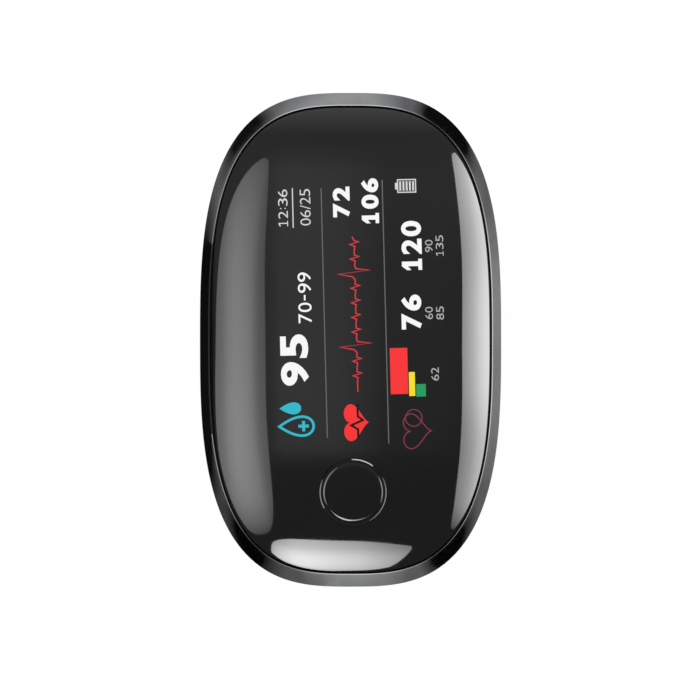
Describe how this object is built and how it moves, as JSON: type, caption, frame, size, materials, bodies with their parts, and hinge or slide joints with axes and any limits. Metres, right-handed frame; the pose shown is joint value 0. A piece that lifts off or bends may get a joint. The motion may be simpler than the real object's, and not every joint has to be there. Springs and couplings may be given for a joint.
{
  "type": "fingertip clip meter",
  "caption": "Sprung clamshell that clips on a fingertip, with a domed black face, a lit display and a push button.",
  "frame": {"origin": "centre of the body's outline on the surface that the flat base rests on", "axes": "+Z up through the face, +Y out of the finger opening, +X to the right seen from above with +Y up"},
  "size_m": [0.0366, 0.06, 0.0319],
  "materials": {
    "case_black": "high gloss",
    "inner_plastic": "fine texture",
    "silicone": "matte silicone",
    "screw_steel": "zinc plated",
    "circuit_board": "solder mask",
    "chip_black": "moulded epoxy",
    "window_red": "clear dark red",
    "cell_jacket": "shrink sleeve",
    "contact_plate": "nickel plated",
    "spring_steel": "bright drawn",
    "flex_film": "polyimide film",
    "trim_gunmetal": "dark plated",
    "face_black": "polished tinted acrylic",
    "bezel_black": "gloss",
    "button_black": "polished",
    "display_glass": "display glass",
    "bracket_steel": "pressed sheet",
    "socket_cream": "nylon"
  },
  "bodies": {
    "lower_jaw": {"lower_shell": "case_black", "battery_tray": "inner_plastic", "lower_cover": "inner_plastic", "lower_finger_pad": "silicone", "lower_screws": "screw_steel", "sensor_board": "circuit_board", "photodiode": "chip_black", "sensor_window": "window_red", "cell_left": "cell_jacket", "cell_right": "cell_jacket", "bridge_contact": "contact_plate", "terminal_plates": "contact_plate", "contact_springs": "spring_steel", "hinge_pin": "spring_steel", "pin_clips": "spring_steel", "jaw_spring_left": "spring_steel", "jaw_spring_right": "spring_steel", "flex_cable": "flex_film"},
    "upper_jaw": {"upper_shell": "case_black", "trim_ring": "trim_gunmetal", "face_lens": "face_black", "button_bezel": "bezel_black", "tact_switch": "chip_black", "display_module": "display_glass", "display_bracket": "bracket_steel", "display_cable": "flex_film", "display_socket": "socket_cream", "main_board": "circuit_board", "processor_chip": "chip_black", "board_parts": "chip_black", "buzzer": "chip_black", "flex_socket": "socket_cream", "board_screws": "screw_steel", "upper_cover": "inner_plastic", "upper_finger_pad": "silicone", "upper_screws": "screw_steel", "emitter_board": "circuit_board", "emitter_leds": "socket_cream", "emitter_window": "window_red"},
    "push_button": {"button_cap": "button_black", "switch_plunger": "chip_black"},
    "door": {"battery_door": "case_black"}
  },
  "joints": [
    {"name": "jaw_hinge", "type": "hinge", "parent": "lower_jaw", "child": "upper_jaw", "pos_m": [0, -0.011, 0.01855], "axis": [1, 0, 0], "range_deg": [0, 16], "stiffness_Nm_per_rad": 0.25, "springref_deg": -28.65, "deforming": ["jaw_spring_left", "jaw_spring_right", "flex_cable"]},
    {"name": "button_press", "type": "slide", "parent": "upper_jaw", "child": "push_button", "axis": [0, 0, -1], "range_m": [0, 0.0003], "stiffness_N_per_m": 3000, "springref_m": -0.0002},
    {"name": "door_slide", "type": "slide", "parent": "lower_jaw", "child": "door", "axis": [0, -1, 0], "range_m": [0, 0.052]}
  ]
}
